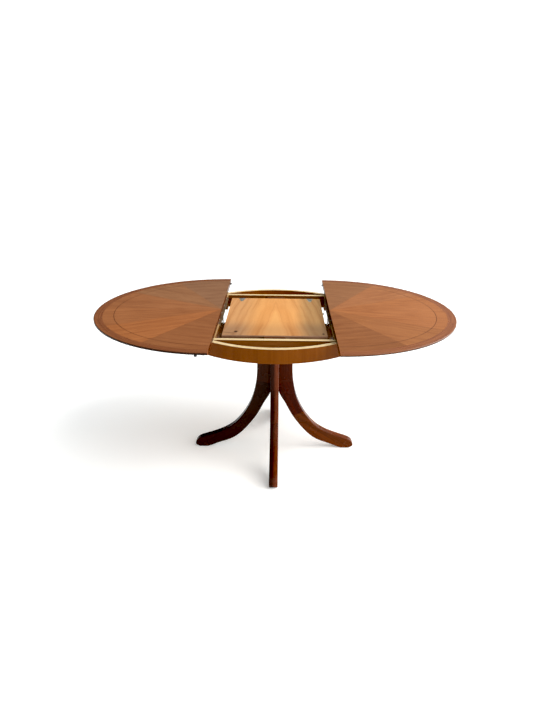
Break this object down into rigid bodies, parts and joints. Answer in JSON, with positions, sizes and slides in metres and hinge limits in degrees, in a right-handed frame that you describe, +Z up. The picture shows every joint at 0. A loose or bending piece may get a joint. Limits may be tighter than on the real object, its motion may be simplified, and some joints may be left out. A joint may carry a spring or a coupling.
{
  "type": "round pedestal table",
  "caption": "Round wooden pedestal table on sabre legs, drawn open, with a folding leaf stored between its sliding half tops.",
  "frame": {"origin": "on the floor under the middle of the table", "axes": "+X the way the right half top slides open, +Y from the front side to the back, +Z up"},
  "size_m": [1.6558, 1.15, 0.724],
  "materials": {
    "top_veneer": "satin lacquered veneer",
    "edge_wood": "satin lacquered solid wood",
    "leaf_veneer": "clear coated underside veneer",
    "leg_wood": "glossy lacquered solid wood",
    "frame_wood": "satin lacquered wood with bare edges",
    "pale_wood": "bare planed beech",
    "dark_felt": "dull slip pad",
    "black_plastic": "moulded",
    "black_metal": "black enamel",
    "zinc_plate": "dull zinc plate",
    "steel": "zinc plated"
  },
  "bodies": {
    "frame": {"apron_back": "frame_wood", "apron_front": "frame_wood", "bearer_x": "leg_wood", "bearer_y": "leg_wood", "centre_bolt_set": "steel", "core_post": "leg_wood", "corner_blocks": "frame_wood", "cross_rail_left": "frame_wood", "cross_rail_right": "frame_wood", "dowels": "pale_wood", "foot_soles": "dark_felt", "frame_screws": "steel", "leaf_rests": "pale_wood", "leg_back_column_block": "leg_wood", "leg_back_foot_block": "leg_wood", "leg_back_knee_block": "leg_wood", "leg_front_column_block": "leg_wood", "leg_front_foot_block": "leg_wood", "leg_front_knee_block": "leg_wood", "leg_left_column_block": "leg_wood", "leg_left_foot_block": "leg_wood", "leg_left_knee_block": "leg_wood", "leg_right_column_block": "leg_wood", "leg_right_foot_block": "leg_wood", "leg_right_knee_block": "leg_wood", "rail_back": "frame_wood", "rail_front": "frame_wood", "runner_guides": "frame_wood", "steel_angles": "zinc_plate"},
    "top_left": {"top_left_panel": "top_veneer", "top_left_edge_band": "edge_wood", "top_left_locating_pin": "black_plastic", "runners_left": "frame_wood", "runner_battens_left": "frame_wood", "top_left_screws": "steel", "glide_pads_left": "dark_felt", "lock_bases": "zinc_plate"},
    "top_right": {"top_right_panel": "top_veneer", "top_right_edge_band": "edge_wood", "top_right_locating_pin": "steel", "runners_right": "frame_wood", "runner_battens_right": "frame_wood", "top_right_screws": "steel", "glide_pads_right": "dark_felt", "lock_keepers": "zinc_plate"},
    "lock_front": {"lock_lever_front": "black_metal"},
    "lock_back": {"lock_lever_back": "black_metal"},
    "leaf_arms": {"swing_arms_and_bar": "black_metal"},
    "leaf_lower": {"leaf_lower_panel": "leaf_veneer", "leaf_lower_edge_strip": "edge_wood", "leaf_lower_hinge_leaves": "zinc_plate", "leaf_lower_screws": "steel", "leaf_brackets": "zinc_plate", "leaf_pins": "steel"},
    "leaf_upper": {"leaf_upper_panel": "leaf_veneer", "leaf_upper_edge_strip": "edge_wood", "leaf_upper_hinge_leaves": "zinc_plate", "leaf_upper_screws": "steel", "leaf_side_pin": "black_plastic"}
  },
  "joints": [
    {"name": "left_half_slide", "type": "slide", "parent": "frame", "child": "top_left", "axis": [-1, 0, 0], "range_m": [-0.2527, 0]},
    {"name": "right_half_slide", "type": "slide", "parent": "frame", "child": "top_right", "axis": [1, 0, 0], "range_m": [-0.2527, 0]},
    {"name": "lock_front_turn", "type": "hinge", "parent": "top_left", "child": "lock_front", "pos_m": [-0.275, -0.512, 0.6965], "axis": [0, 0, -1], "range_deg": [0, 180]},
    {"name": "lock_back_turn", "type": "hinge", "parent": "top_left", "child": "lock_back", "pos_m": [-0.275, 0.512, 0.6965], "axis": [0, 0, 1], "range_deg": [0, 180]},
    {"name": "leaf_swing", "type": "hinge", "parent": "frame", "child": "leaf_arms", "pos_m": [0, 0, 0.641], "axis": [1, 0, 0], "range_deg": [0, 160.64]},
    {"name": "leaf_level", "type": "hinge", "parent": "leaf_arms", "child": "leaf_lower", "pos_m": [0, 0.1478, 0.641], "axis": [1, 0, 0], "range_deg": [-160.65, 0]},
    {"name": "leaf_unfold", "type": "hinge", "parent": "leaf_lower", "child": "leaf_upper", "pos_m": [0, 0.28725, 0.6755], "axis": [-1, 0, 0], "range_deg": [0, 180.02]}
  ],
  "couplings": [
    {"joint": "leaf_level", "follows": "leaf_swing", "ratio": -1},
    {"joint": "leaf_unfold", "follows": "leaf_swing", "ratio": 1.1205}
  ]
}
